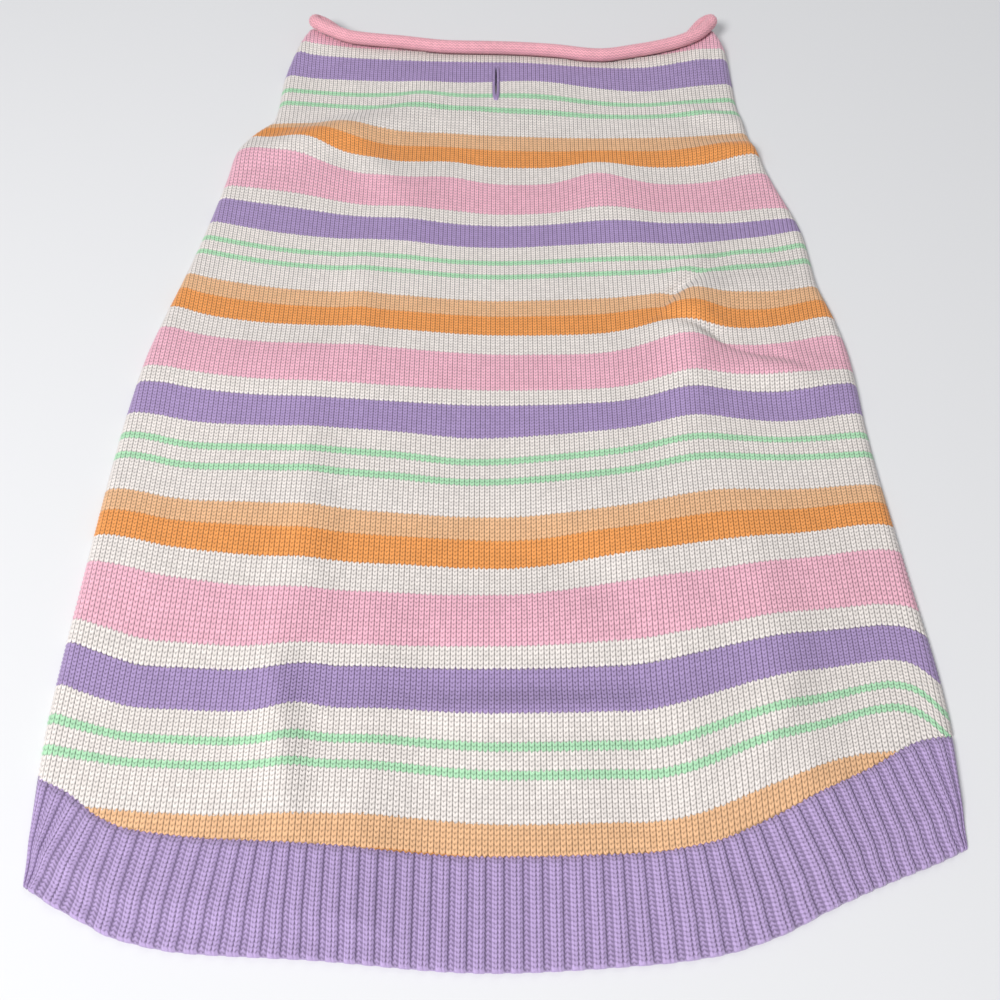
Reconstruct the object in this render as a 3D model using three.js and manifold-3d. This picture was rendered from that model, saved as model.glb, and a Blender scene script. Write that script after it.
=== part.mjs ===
// A knitted dog sweater laid flat, back up: a striped back and a belly of stockinette, a ribbed hem on
// each, ribbed cuffs round the two leg holes, a rolled collar and a bound slot for a leash.
// Millimetres. +Z is up, +Y runs towards the neck and +X to the right of someone at the hem.
// The origin is the middle of the whole part's box, at its floor.

import * as THREE from 'three';
import { mergeVertices } from 'three/addons/utils/BufferGeometryUtils.js';
import Module from 'manifold-3d';

const wasm = await Module();
wasm.setup();

// Cloth
const KNIT = 2.6; // thickness of the stockinette and of the rib's inner wall
const RIB_RISE = 1.0; // how far the knit ribs stand over the purl valleys
const SEAM = 0.3; // between pieces that are sewn or lie on each other
const HEM_SEAM = 0.5; // the same gap at the hem's rib, along Y, because that seam runs aslant
const LAYER_AIR = 0.4; // between the belly and the back that lies on it
const EDGE_ROUND = 7; // how far in from a side edge the back is still rounding over
const BELLY_INSET = 6.8; // the belly's side edges lie this far inside the outline, in the back's fold
const ROW_SLANT = 12; // and inside the outline this much nearer the neck, where the back's rows end
const DRAPE_FROM = 9; // past the belly's free edge the back starts to come down here
const DRAPE = 13; // and it is down on the floor this much further on
const ARCH_EASE = 0.4; // within the arch the way down is this much less steep

// One rib of the hem, a purl valley and then a knit ridge, in shares of its width and of RIB_RISE.
const HEM_RIBS = 52;
const RIB_SECTION = [
  { along: 0.0, rise: 0 },
  { along: 0.2, rise: 0 },
  { along: 0.36, rise: 1 },
  { along: 0.84, rise: 1 },
];

// The outline as it lies: where its left and right edges are at each distance up the garment.
const OUTLINE = [
  { y: -262, left: -201, right: 201 },
  { y: -245, left: -203.5, right: 202.5 },
  { y: -212, left: -206, right: 205.5 },
  { y: -187, left: -207, right: 206 },
  { y: -107, left: -204.7, right: 200.3 },
  { y: -37, left: -201.6, right: 195.2 },
  { y: 15, left: -196.6, right: 193.9 },
  { y: 43, left: -191.2, right: 190 },
  { y: 72, left: -184.3, right: 183.1 },
  { y: 103, left: -177.6, right: 181.2 },
  { y: 152, left: -169.2, right: 167.9 },
  { y: 176, left: -166, right: 161.5 },
  { y: 190, left: -158, right: 158 },
  { y: 205, left: -145.5, right: 156 },
  { y: 220, left: -143.5, right: 153.5 },
  { y: 240, left: -143, right: 153.1 },
  { y: 266, left: -138.4, right: 152 },
  { y: 289, left: -130.3, right: 145.9 },
];

// The back's curved lower end: the seam between stockinette and rib, and the rib's own edge.
const HEM = [
  { x: -206, seam: -212, edge: -256 },
  { x: -190, seam: -219, edge: -265 },
  { x: -175, seam: -229, edge: -272 },
  { x: -160, seam: -234.5, edge: -278.5 },
  { x: -130, seam: -238, edge: -284 },
  { x: -80, seam: -240.5, edge: -286.5 },
  { x: -4, seam: -245.5, edge: -291.5 },
  { x: 60, seam: -244, edge: -288.5 },
  { x: 90, seam: -240, edge: -285 },
  { x: 115, seam: -231, edge: -278 },
  { x: 140, seam: -219, edge: -267 },
  { x: 165, seam: -208, edge: -257 },
  { x: 190, seam: -196, edge: -248 },
  { x: 206, seam: -193.5, edge: -241 },
];
const HEM_CORNERS = { left: -203, right: 202.3 };
// Where the hem's ribs lie, counted from the left: across the seam, and across the edge. They are
// drawn apart at the left corner, and a few of them run out over the two sides.
const RIB_SPREAD = [
  { rib: 0, seam: -207, edge: HEM_CORNERS.left },
  { rib: 2.6, seam: -185, edge: -199 },
  { rib: 3.6, seam: -176.2, edge: -189 },
  { rib: 4.6, seam: -168, edge: -176.4 },
  { rib: 7.6, seam: -139, edge: -146.2 },
  { rib: 10.6, seam: -113.5, edge: -118.8 },
  { rib: 14.6, seam: -85, edge: -85 },
  { rib: 22.6, seam: -24, edge: -24 },
  { rib: 26.6, seam: 7, edge: 7 },
  { rib: 30.6, seam: 41, edge: 41 },
  { rib: 34.6, seam: 76, edge: 79.5 },
  { rib: 38.6, seam: 108.7, edge: 119.6 },
  { rib: 41.6, seam: 134.6, edge: 149.2 },
  { rib: 44.6, seam: 157.7, edge: 168.6 },
  { rib: 47.6, seam: 176.2, edge: 188.9 },
  { rib: 49.6, seam: 189, edge: 199.5 },
  { rib: 52, seam: 206.5, edge: HEM_CORNERS.right },
];
const SEAM_ENDS = -203; // how far up the garment the seam's two ends lie, on average
const NECK_SHORT = 1.5; // the back stops this far short of the middle of the collar's roll
const BELLY_NECK = -0.5; // and the belly this far from it, against the roll on the front

// The collar's roll along the back of the neck. It lies highest at its two ends.
const ROLL_RADIUS = 3.9;
const COLLAR = [
  { x: -126.2, y: 286.8, z: 14.9 },
  { x: -112, y: 278, z: 14.2 },
  { x: -98, y: 272.8, z: 13.0 },
  { x: -66, y: 269.5, z: 11.85 },
  { x: -33, y: 265.5, z: 11.25 },
  { x: 0, y: 264.5, z: 11.25 },
  { x: 33, y: 262, z: 11.25 },
  { x: 66, y: 257.3, z: 11.25 },
  { x: 91, y: 261.5, z: 11.55 },
  { x: 113, y: 266.5, z: 12.6 },
  { x: 132, y: 274.5, z: 14.2 },
  { x: 141.4, y: 284.8, z: 14.9 },
];
// From the roll on the back of the neck to the one on its front, outwards and down.
const TO_FRONT_ROLL = { endsOut: 6.8, endsDown: 4.3, middleOut: 4.0, middleDown: 7.35 };
const ROLL_ENDS = 26; // the roll comes down from its ends over this

// The belly's free edge is an arch, from one hem corner up under the back and down to the other.
const ARCH = { x: 13, halfWidth: 101, foot: -148, top: -62 };
const BELLY_RIB = 34; // height of the belly's rib
const BELLY_SHORT = 28; // the belly's rib ends this far inside the back's
const BELLY_CORNER = { in: 6, down: 4, hem: 14 }; // how far its corners are cut off, at neck and hem

const LEG_HOLES = [
  { name: 'left', x: -78, y: 158, tilt: 8 },
  { name: 'right', x: 82, y: 156, tilt: -8 },
];
const LEG_HOLE = { halfWidth: 36, halfLength: 47, cuff: 11 };

// The slot for a leash, open a little at its middle, and the band of rib yarn round it.
const SLOT = { x: -3, y: 237.5, halfLength: 12.6, halfWidth: 0.8 };
const BINDING = { y: 235, halfLength: 16.5, halfWidth: 2.3, thick: 0.9, above: 0.4 };

// The main folds: soft ridges, and troughs with a negative rise. angle is from +X, in degrees, and
// long and wide are how far each reaches along and across itself before it has faded to a third.
const FOLDS = [
  { x: -108, y: 188, angle: 20, long: 48, wide: 13, rise: 6.5 },
  { x: -98, y: 214, angle: 25, long: 50, wide: 9, rise: -2.2 },
  { x: -78, y: 163, angle: -56, long: 30, wide: 11, rise: 2.5 },
  { x: 138, y: 172, angle: 6, long: 34, wide: 11, rise: 3.0 },
  { x: -57, y: 120, angle: 88, long: 50, wide: 20, rise: 3.0 },
  { x: 78, y: 120, angle: 92, long: 46, wide: 20, rise: 2.5 },
  { x: 108, y: 42, angle: 84, long: 62, wide: 16, rise: 8.0 },
  { x: 140, y: 62, angle: 22, long: 34, wide: 13, rise: 4.5 },
  { x: 160, y: 2, angle: -12, long: 34, wide: 14, rise: 4.0 },
  { x: -128, y: 8, angle: 2, long: 80, wide: 24, rise: 3.0 },
  { x: 24, y: -72, angle: 0, long: 82, wide: 15, rise: 1.5 },
  { x: 10, y: -140, angle: 1, long: 84, wide: 17, rise: 2.4 },
  { x: -106, y: -165, angle: 88, long: 72, wide: 13, rise: 2.6 },
  { x: 132, y: -160, angle: 94, long: 74, wide: 16, rise: 3.2 },
  { x: -50, y: 238, angle: 70, long: 24, wide: 14, rise: 2.0 },
];

// How finely the back, its rib and the roll are divided
const BACK_ROWS = 34;
const BACK_COLUMNS = 22;
const ROUND_STEPS = 4;
const RIB_ROWS = 3;
const ROLL_STEPS = 30;
const ROLL_END_STEPS = 5;
const ROLL_SIDES = 10;
const BEYOND = 340; // further out than any cloth, for what cuts right through it
const WELD = 1e-4; // points nearer than this are one

// Steps along the flat pieces' outlines
const SIDE_STEPS = 24;
const NECK_STEPS = 16;
const HEM_STEPS = 14;
const ARCH_STEPS = 20;
const HOLE_STEPS = 28;
const SLOT_STEPS = 16;
const BINDING_STEPS = 24;

const degrees = Math.PI / 180;
const clamp01 = (t) => Math.min(1, Math.max(0, t));
const ease = (t) => clamp01(t) ** 2 * (3 - 2 * clamp01(t));
const mix = (a, b, t) => a + (b - a) * t;

// A smooth curve through one column of a table, whose rows rise along another.
function through(table, by, name) {
  const at = table.map((row) => row[by]);
  const value = table.map((row) => row[name]);
  const last = table.length - 1;
  const chord = (i) => (value[i + 1] - value[i]) / (at[i + 1] - at[i]);
  const slope = at.map((_, i) => {
    if (i === 0) return chord(0);
    if (i === last) return chord(last - 1);
    const before = chord(i - 1);
    const after = chord(i);
    return before * after <= 0 ? 0 : (2 * before * after) / (before + after);
  });
  return (position) => {
    const p = Math.min(at[last], Math.max(at[0], position));
    let i = 0;
    while (i < last - 1 && p > at[i + 1]) i += 1;
    const span = at[i + 1] - at[i];
    const t = (p - at[i]) / span;
    const bend = t * t * (3 - 2 * t);
    const leaving = slope[i] * span * t * (1 - t) ** 2;
    const arriving = slope[i + 1] * span * t * t * (t - 1);
    return value[i] + (value[i + 1] - value[i]) * bend + leaving + arriving;
  };
}

const leftEdge = through(OUTLINE, 'y', 'left');
const rightEdge = through(OUTLINE, 'y', 'right');
const seamY = through(HEM, 'x', 'seam');
const hemY = through(HEM, 'x', 'edge');
const collarY = through(COLLAR, 'x', 'y');
const collarZ = through(COLLAR, 'x', 'z');
const ribSeamX = through(RIB_SPREAD, 'rib', 'seam');
const ribEdgeX = through(RIB_SPREAD, 'rib', 'edge');

// How far a point is past the belly's free edge, less in the arch, where the way down is gentle.
function pastBelly(x, y) {
  const across = Math.abs(x - ARCH.x);
  const up = Math.max(y - ARCH.foot, 0) / (ARCH.top - ARCH.foot);
  const arch = ARCH.halfWidth * (1 - Math.hypot(across / ARCH.halfWidth, up));
  return Math.max(ARCH_EASE * arch, hemY(x) + BELLY_SHORT - y);
}

function foldRise(x, y) {
  return FOLDS.reduce((sum, fold) => {
    const c = Math.cos(fold.angle * degrees);
    const s = Math.sin(fold.angle * degrees);
    const u = ((x - fold.x) * c + (y - fold.y) * s) / fold.long;
    const v = ((y - fold.y) * c - (x - fold.x) * s) / fold.wide;
    return sum + fold.rise * Math.exp(-u * u - v * v);
  }, 0);
}

// The underside of the cloth of the back, before its sides round over: on the belly, or past the
// belly's edge on the floor, and up under the collar's roll at the neck.
const OVER_BELLY = KNIT + LAYER_AIR;
const NECK_RAMP = 46;
function clothUnder(x, y) {
  const onBelly = OVER_BELLY * (1 - ease((pastBelly(x, y) - DRAPE_FROM) / DRAPE));
  const lain = onBelly + Math.max(foldRise(x, y), 0);
  const neck = collarZ(x) - ROLL_RADIUS - SEAM - KNIT;
  const nearNeck = ease(1 - (collarY(x) - y) / NECK_RAMP);
  return Math.max(onBelly, mix(lain, neck, nearNeck));
}

// Height over the floor at a distance in from the side edge, on a quarter of an ellipse.
function rounded(height, inwards, reach) {
  return height * Math.sqrt(1 - (1 - clamp01(inwards / reach)) ** 2);
}

// Rows of points to one closed wall: the outer face, the inner one and the four edges.
function wall(outer, inner) {
  const rows = outer.length;
  const columns = outer[0].length;
  const positions = [...outer.flat(), ...inner.flat()].flatMap((p) => [p.x, p.y, p.z]);
  const at = (side, r, c) => side * rows * columns + r * columns + c;
  const faces = [];
  const quad = (a, b, c, d) => faces.push(a, b, c, a, c, d);
  for (let r = 0; r < rows - 1; r += 1) {
    for (let c = 0; c < columns - 1; c += 1) {
      quad(at(0, r, c), at(0, r, c + 1), at(0, r + 1, c + 1), at(0, r + 1, c));
      quad(at(1, r, c), at(1, r + 1, c), at(1, r + 1, c + 1), at(1, r, c + 1));
    }
  }
  for (let c = 0; c < columns - 1; c += 1) {
    quad(at(0, 0, c), at(1, 0, c), at(1, 0, c + 1), at(0, 0, c + 1));
    quad(at(0, rows - 1, c), at(0, rows - 1, c + 1), at(1, rows - 1, c + 1), at(1, rows - 1, c));
  }
  for (let r = 0; r < rows - 1; r += 1) {
    quad(at(0, r, 0), at(0, r + 1, 0), at(1, r + 1, 0), at(1, r, 0));
    quad(at(0, r, columns - 1), at(1, r, columns - 1), at(1, r + 1, columns - 1), at(0, r + 1, columns - 1));
  }
  const geometry = new THREE.BufferGeometry();
  geometry.setAttribute('position', new THREE.Float32BufferAttribute(positions, 3));
  geometry.setIndex(faces);
  return geometry;
}

function toSolid(geometry) {
  const bare = geometry.clone();
  bare.deleteAttribute('normal');
  bare.deleteAttribute('uv');
  const merged = mergeVertices(bare, WELD);
  return new wasm.Manifold(new wasm.Mesh({
    numProp: 3,
    vertProperties: new Float32Array(merged.attributes.position.array),
    triVerts: new Uint32Array(merged.index.array),
  }));
}

function toGeometry(solid) {
  const mesh = solid.getMesh();
  const geometry = new THREE.BufferGeometry();
  geometry.setAttribute('position', new THREE.Float32BufferAttribute(mesh.vertProperties, 3));
  geometry.setIndex([...mesh.triVerts]);
  return geometry;
}

// An upright prism over a plan outline
function prism(points, from, to) {
  const outline = new THREE.Shape(points.map((p) => new THREE.Vector2(p.x, p.y)));
  const geometry = new THREE.ExtrudeGeometry(outline, { depth: to - from, bevelEnabled: false });
  geometry.translate(0, 0, from);
  return toSolid(geometry);
}

function ellipse(centre, halfWidth, halfLength, tilt, steps) {
  return Array.from({ length: steps }, (_, i) => {
    const a = (i / steps) * 2 * Math.PI;
    const u = halfWidth * Math.cos(a);
    const v = halfLength * Math.sin(a);
    const c = Math.cos(tilt * degrees);
    const s = Math.sin(tilt * degrees);
    return { x: centre.x + u * c - v * s, y: centre.y + u * s + v * c };
  });
}

// Distances in from the left edge to the columns of the back, close together where it rounds over.
function columnSteps(width) {
  const round = Array.from({ length: ROUND_STEPS }, (_, i) =>
    EDGE_ROUND * (1 - Math.cos((i / ROUND_STEPS) * 90 * degrees)));
  const flat = Array.from({ length: BACK_COLUMNS + 1 }, (_, i) =>
    mix(EDGE_ROUND, width - EDGE_ROUND, i / BACK_COLUMNS));
  return [...round, ...flat, ...round.map((step) => width - step).reverse()];
}

// How far up the garment a row's line lies at x
function lineY(row, x) {
  let i = 1;
  while (i < row.length - 1 && row[i].x < x) i += 1;
  return mix(row[i - 1].y, row[i].y, (x - row[i - 1].x) / (row[i].x - row[i - 1].x));
}

// The two faces of the back along a row given in plan, whose points may have a rise. The inner face
// has its points on the same line, drawn in where the edges round over, by the thickness of the wall.
function backFaces(row) {
  const left = row[0].x;
  const right = row.at(-1).x;
  const inwards = (x) => Math.min(x - left, right - x);
  const outer = row.map(({ x, y, rise = 0 }) =>
    new THREE.Vector3(x, y, rounded(clothUnder(x, y) + KNIT + rise, inwards(x), EDGE_ROUND)));
  const inner = row.map((point) => {
    const drawnIn = KNIT * (1 - clamp01(inwards(point.x) / EDGE_ROUND));
    const x = point.x - left < right - point.x ? point.x + drawnIn : point.x - drawnIn;
    const y = lineY(row, x);
    return new THREE.Vector3(x, y, rounded(clothUnder(x, y), inwards(x) - KNIT, EDGE_ROUND - KNIT));
  });
  return { outer, inner };
}

// Where the back's columns cross a row, in plan. Row 0 is the seam with the hem's rib, and the last
// row lies under the collar's roll.
function backRow(r) {
  const t = r / BACK_ROWS;
  const guide = mix(seamY(0), collarY(0), t);
  const width = rightEdge(guide) - leftEdge(guide);
  return columnSteps(width).map((step) => {
    const f = step / width;
    const low = seamY(mix(leftEdge(SEAM_ENDS), rightEdge(SEAM_ENDS), f));
    const high = collarY(mix(COLLAR[0].x, COLLAR.at(-1).x, f)) - NECK_SHORT;
    const y = mix(low, high, t);
    return { x: mix(leftEdge(y), rightEdge(y), f), y };
  });
}

function backPanel() {
  const rows = Array.from({ length: BACK_ROWS + 1 }, (_, r) => backFaces(backRow(r)));
  const cloth = toSolid(wall(rows.map((row) => row.outer), rows.map((row) => row.inner)));
  const slot = prism(ellipse(SLOT, SLOT.halfWidth, SLOT.halfLength, 0, SLOT_STEPS), -BEYOND, BEYOND);
  return toGeometry(cloth.subtract(slot));
}

function backHemRib() {
  const sewn = backRow(0);
  const seamAt = (rib) => {
    const x = Math.min(Math.max(ribSeamX(rib), sewn[0].x), sewn.at(-1).x);
    return new THREE.Vector2(x, lineY(sewn, x) - HEM_SEAM);
  };
  const edgeAt = (rib) => new THREE.Vector2(ribEdgeX(rib), hemY(ribEdgeX(rib)));
  const columns = [];
  for (let rib = 0; rib < HEM_RIBS; rib += 1) {
    for (const point of RIB_SECTION) {
      columns.push({ at: rib + point.along, rise: point.rise * RIB_RISE });
    }
  }
  columns.push({ at: HEM_RIBS, rise: 0 });
  const rows = Array.from({ length: RIB_ROWS }, (_, r) => backFaces(columns.map(({ at, rise }) => {
    const { x, y } = edgeAt(at).lerp(seamAt(at), r / (RIB_ROWS - 1));
    return { x, y, rise };
  })));
  return wall(rows.map((row) => row.outer), rows.map((row) => row.inner));
}

// A run of points in plan, where at gives the one at each share of the way
const runOf = (steps, at) => Array.from({ length: steps + 1 }, (_, i) => at(i / steps));

// The outline that the belly fills, just inside the back's wall
function bellyOutline() {
  const hemRight = hemY(HEM_CORNERS.right) + BELLY_SHORT;
  const hemLeft = hemY(HEM_CORNERS.left) + BELLY_SHORT;
  const right = runOf(SIDE_STEPS, (t) => {
    const y = mix(hemRight, COLLAR.at(-1).y - BELLY_CORNER.down, t);
    return { x: Math.min(rightEdge(y), rightEdge(y + ROW_SLANT)) - BELLY_INSET, y };
  });
  const neck = runOf(NECK_STEPS, (t) => {
    const x = mix(COLLAR.at(-1).x - BELLY_CORNER.in, COLLAR[0].x + BELLY_CORNER.in, t);
    return { x, y: collarY(x) + BELLY_NECK };
  });
  const left = runOf(SIDE_STEPS, (t) => {
    const y = mix(COLLAR[0].y - BELLY_CORNER.down, hemLeft, t);
    return { x: Math.max(leftEdge(y), leftEdge(y + ROW_SLANT)) + BELLY_INSET, y };
  });
  const hem = runOf(HEM_STEPS, (t) => {
    const x = mix(HEM_CORNERS.left + BELLY_CORNER.hem, HEM_CORNERS.right - BELLY_CORNER.hem, t);
    return { x, y: hemY(x) + BELLY_SHORT };
  });
  return [...right, ...neck, ...left, ...hem];
}

// The arch grown by a distance, on legs down past the hem
function archOutline(grow) {
  const half = ARCH.halfWidth + grow;
  const rise = ARCH.top - ARCH.foot + grow;
  const crown = runOf(ARCH_STEPS, (t) => (
    { x: ARCH.x + half * Math.cos(t * Math.PI), y: ARCH.foot + rise * Math.sin(t * Math.PI) }));
  return [{ x: ARCH.x + half, y: -BEYOND }, ...crown, { x: ARCH.x - half, y: -BEYOND }];
}

// Everything within a distance of the belly's lower edge
function belowBelly(grow) {
  const reach = HEM.at(-1).x;
  const edge = runOf(SIDE_STEPS, (t) => {
    const x = mix(reach, -reach, t);
    return { x, y: hemY(x) + BELLY_SHORT + grow };
  });
  return [{ x: -reach, y: -BEYOND }, { x: reach, y: -BEYOND }, ...edge];
}

function bellyPieces() {
  const cutter = (outline) => prism(outline, -BEYOND, BEYOND);
  const plate = prism(bellyOutline(), 0, KNIT);
  const along = (grow) => cutter(archOutline(grow)).add(cutter(belowBelly(grow)));
  const rib = plate.intersect(along(BELLY_RIB)).subtract(cutter(archOutline(0)));
  const panel = LEG_HOLES.reduce(
    (cloth, hole) => cloth.subtract(cutter(holeOutline(hole, 0))),
    plate.subtract(along(BELLY_RIB + SEAM)),
  );
  return { panel: toGeometry(panel), rib: toGeometry(rib) };
}

function holeOutline(hole, inset) {
  return ellipse(hole, LEG_HOLE.halfWidth - inset, LEG_HOLE.halfLength - inset, hole.tilt, HOLE_STEPS);
}

function legCuff(hole) {
  const cloth = prism(holeOutline(hole, SEAM), 0, KNIT);
  return toGeometry(cloth.subtract(prism(holeOutline(hole, LEG_HOLE.cuff), -BEYOND, BEYOND)));
}

// The middle of the collar's roll, once round: along the back of the neck, round its right end,
// along the front, which is lower and further out, and round its left end.
function collarLoop() {
  const from = COLLAR[0].x;
  const to = COLLAR.at(-1).x;
  const back = [];
  const front = [];
  for (let i = 0; i <= ROLL_STEPS; i += 1) {
    const x = mix(from, to, i / ROLL_STEPS);
    const before = Math.max(from, x - 1);
    const after = Math.min(to, x + 1);
    const along = new THREE.Vector3(after - before, collarY(after) - collarY(before), 0).normalize();
    const toEnd = ease(Math.min(x - from, to - x) / ROLL_ENDS);
    const out = mix(TO_FRONT_ROLL.endsOut, TO_FRONT_ROLL.middleOut, toEnd);
    const down = mix(TO_FRONT_ROLL.endsDown, TO_FRONT_ROLL.middleDown, toEnd);
    const point = new THREE.Vector3(x, collarY(x), collarZ(x));
    back.push(point);
    front.push(point.clone().add(new THREE.Vector3(-along.y * out, along.x * out, -down)));
  }
  const turn = (start, end, before) => {
    const centre = start.clone().lerp(end, 0.5);
    const arm = start.clone().sub(centre);
    const onwards = start.clone().sub(before).normalize().multiplyScalar(arm.length());
    return Array.from({ length: ROLL_END_STEPS }, (_, i) => {
      const a = ((i + 1) / (ROLL_END_STEPS + 1)) * Math.PI;
      return centre.clone().addScaledVector(arm, Math.cos(a)).addScaledVector(onwards, Math.sin(a));
    });
  };
  const last = ROLL_STEPS;
  return [
    ...back,
    ...turn(back[last], front[last], back[last - 1]),
    ...front.reverse(),
    ...turn(front[last], back[0], front[last - 1]),
  ];
}

function neckRoll() {
  const loop = collarLoop();
  const count = loop.length;
  const positions = [];
  const up = new THREE.Vector3(0, 0, 1);
  loop.forEach((centre, i) => {
    const along = loop[(i + 1) % count].clone().sub(loop[(i + count - 1) % count]).normalize();
    const side = along.clone().cross(up).normalize();
    const over = side.clone().cross(along);
    for (let k = 0; k < ROLL_SIDES; k += 1) {
      const a = (k / ROLL_SIDES) * 2 * Math.PI;
      const p = centre.clone()
        .addScaledVector(side, ROLL_RADIUS * Math.sin(a))
        .addScaledVector(over, ROLL_RADIUS * Math.cos(a));
      positions.push(p.x, p.y, p.z);
    }
  });
  const faces = [];
  for (let i = 0; i < count; i += 1) {
    const next = (i + 1) % count;
    for (let k = 0; k < ROLL_SIDES; k += 1) {
      const turned = (k + 1) % ROLL_SIDES;
      const a = i * ROLL_SIDES + k;
      const b = i * ROLL_SIDES + turned;
      const c = next * ROLL_SIDES + turned;
      const d = next * ROLL_SIDES + k;
      faces.push(a, b, c, a, c, d);
    }
  }
  const geometry = new THREE.BufferGeometry();
  geometry.setAttribute('position', new THREE.Float32BufferAttribute(positions, 3));
  geometry.setIndex(faces);
  return geometry;
}

// A thin band on the back's own surface, round the slot
function slotBinding() {
  const loops = [
    ellipse(SLOT, SLOT.halfWidth + 0.25, SLOT.halfLength + 0.4, 0, BINDING_STEPS),
    ellipse({ x: SLOT.x, y: BINDING.y }, BINDING.halfWidth, BINDING.halfLength, 0, BINDING_STEPS),
  ];
  const lift = (p, above) => new THREE.Vector3(p.x, p.y, clothUnder(p.x, p.y) + KNIT + above);
  const ring = [
    loops[0].map((p) => lift(p, BINDING.above)),
    loops[1].map((p) => lift(p, BINDING.above)),
    loops[1].map((p) => lift(p, BINDING.above + BINDING.thick)),
    loops[0].map((p) => lift(p, BINDING.above + BINDING.thick)),
  ];
  const positions = ring.flat().flatMap((p) => [p.x, p.y, p.z]);
  const faces = [];
  for (let level = 0; level < ring.length; level += 1) {
    const above = (level + 1) % ring.length;
    for (let i = 0; i < BINDING_STEPS; i += 1) {
      const next = (i + 1) % BINDING_STEPS;
      faces.push(level * BINDING_STEPS + i, level * BINDING_STEPS + next, above * BINDING_STEPS + next);
      faces.push(level * BINDING_STEPS + i, above * BINDING_STEPS + next, above * BINDING_STEPS + i);
    }
  }
  const geometry = new THREE.BufferGeometry();
  geometry.setAttribute('position', new THREE.Float32BufferAttribute(positions, 3));
  geometry.setIndex(faces);
  return geometry;
}

const yarn = (color) => new THREE.MeshStandardMaterial({ color, roughness: 0.95, metalness: 0 });
const cream = yarn(0xe9e2d8);
const purple = yarn(0xa791c6);
const pink = yarn(0xf2b3c2);

const group = new THREE.Group();
function add(name, geometry, material) {
  const mesh = new THREE.Mesh(geometry, material);
  mesh.name = name;
  group.add(mesh);
}

const belly = bellyPieces();
add('back_panel', backPanel(), cream);
add('back_hem_rib', backHemRib(), purple);
add('belly_panel', belly.panel, cream);
add('belly_hem_rib', belly.rib, purple);
for (const hole of LEG_HOLES) add(`leg_cuff_${hole.name}`, legCuff(hole), purple);
add('neck_roll', neckRoll(), pink);
add('leash_slot_binding', slotBinding(), purple);

// The middle of the box, at the floor, becomes the origin.
const box = new THREE.Box3().setFromObject(group);
const middle = box.getCenter(new THREE.Vector3());
group.position.set(-middle.x, -middle.y, -box.min.z);
group.updateMatrixWorld(true);

export default group;
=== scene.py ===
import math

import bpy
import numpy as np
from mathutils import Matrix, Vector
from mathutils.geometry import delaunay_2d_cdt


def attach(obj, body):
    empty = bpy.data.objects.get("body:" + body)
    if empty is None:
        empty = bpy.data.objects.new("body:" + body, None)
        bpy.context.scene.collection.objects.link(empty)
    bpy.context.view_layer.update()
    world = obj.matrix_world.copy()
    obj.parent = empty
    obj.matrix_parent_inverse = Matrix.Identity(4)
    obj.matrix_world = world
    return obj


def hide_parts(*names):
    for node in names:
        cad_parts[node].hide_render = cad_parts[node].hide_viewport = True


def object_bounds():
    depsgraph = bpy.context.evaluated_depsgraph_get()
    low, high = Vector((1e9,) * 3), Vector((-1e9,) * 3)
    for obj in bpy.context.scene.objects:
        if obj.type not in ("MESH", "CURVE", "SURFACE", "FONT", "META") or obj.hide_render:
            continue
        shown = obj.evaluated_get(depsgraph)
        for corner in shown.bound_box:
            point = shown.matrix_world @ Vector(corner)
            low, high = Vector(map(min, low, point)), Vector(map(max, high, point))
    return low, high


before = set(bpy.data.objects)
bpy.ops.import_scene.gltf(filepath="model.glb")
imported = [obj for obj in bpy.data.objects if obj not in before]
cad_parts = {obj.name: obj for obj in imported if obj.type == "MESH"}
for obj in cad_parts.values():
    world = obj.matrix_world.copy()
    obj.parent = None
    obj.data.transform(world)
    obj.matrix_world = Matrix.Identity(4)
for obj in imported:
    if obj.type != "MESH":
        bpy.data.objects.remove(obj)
cad_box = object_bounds()

# The looks of a knitted dog sweater that lies flat, back up. Every stitch of the back, the rib and the
# collar is in its mesh: a knit wale has a valley, a leg, a valley and a leg, and a course has two rows.
# Sizes are in millimetres, in the frame of the tables, where y runs from the hem to the collar. The last
# step of each mesh turns them into metres.

MM = 0.001

# Cloth, as in the solids
KNIT = 2.6  # thick
RIB_RISE = 1.4
LAYER_AIR = 0.4  # between the back and the belly
OVER_BELLY = KNIT + LAYER_AIR
EDGE_ROUND = 7.0
DRAPE_FROM = 9.0  # how far past the belly's edge the back starts to sink, and over what length
DRAPE = 13.0
ARCH_EASE = 0.4
NECK_RAMP = 46.0  # over which the back climbs to the collar's roll
NECK_SINK = {"deep": 0.4, "long": 8.0}  # the last stitches below the roll
SEAM = 0.3
SEAM_TEETH = 1.0  # how far each wale's last stitch reaches into the rib

# The knit
WALE = 2.6
COURSE = 2.03
RELIEF = 0.95  # of a stitch, from its holes to its legs
MEAN_DEPTH = 0.55  # the share of the relief that lies level with the cloth
CUT_DEPTH = 0.3  # where an edge runs through a stitch
LINING_DEPTH = 0.7
BACK_WALES = 170
BLOCK = 70  # courses in one repeat of the stripes
FIRST_COURSE = -14
LAST_COURSE = 262
BACK_BLOCKS = [
    ("neck", FIRST_COURSE, 70), ("upper", 70, 140), ("lower", 140, 210), ("hem", 210, LAST_COURSE),
]
HEM_RIBS = 52
HEM_COURSES = 25

# The stripes of one repeat, from the neck down: how many courses each has
STRIPES = [
    ("purple", 10), ("cream", 6), ("green", 2), ("cream", 4), ("green", 2), ("cream", 9),
    ("light_orange", 6), ("orange", 7), ("cream", 7), ("pink", 12), ("cream", 5),
]
YARNS = {
    "cream": (242, 234, 229), "purple": (178, 155, 201), "green": (183, 230, 190),
    "light_orange": (241, 192, 148), "orange": (246, 165, 94), "pink": (248, 191, 208),
    "rib_purple": (188, 165, 210), "collar_pink": (250, 183, 195),
}

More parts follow.
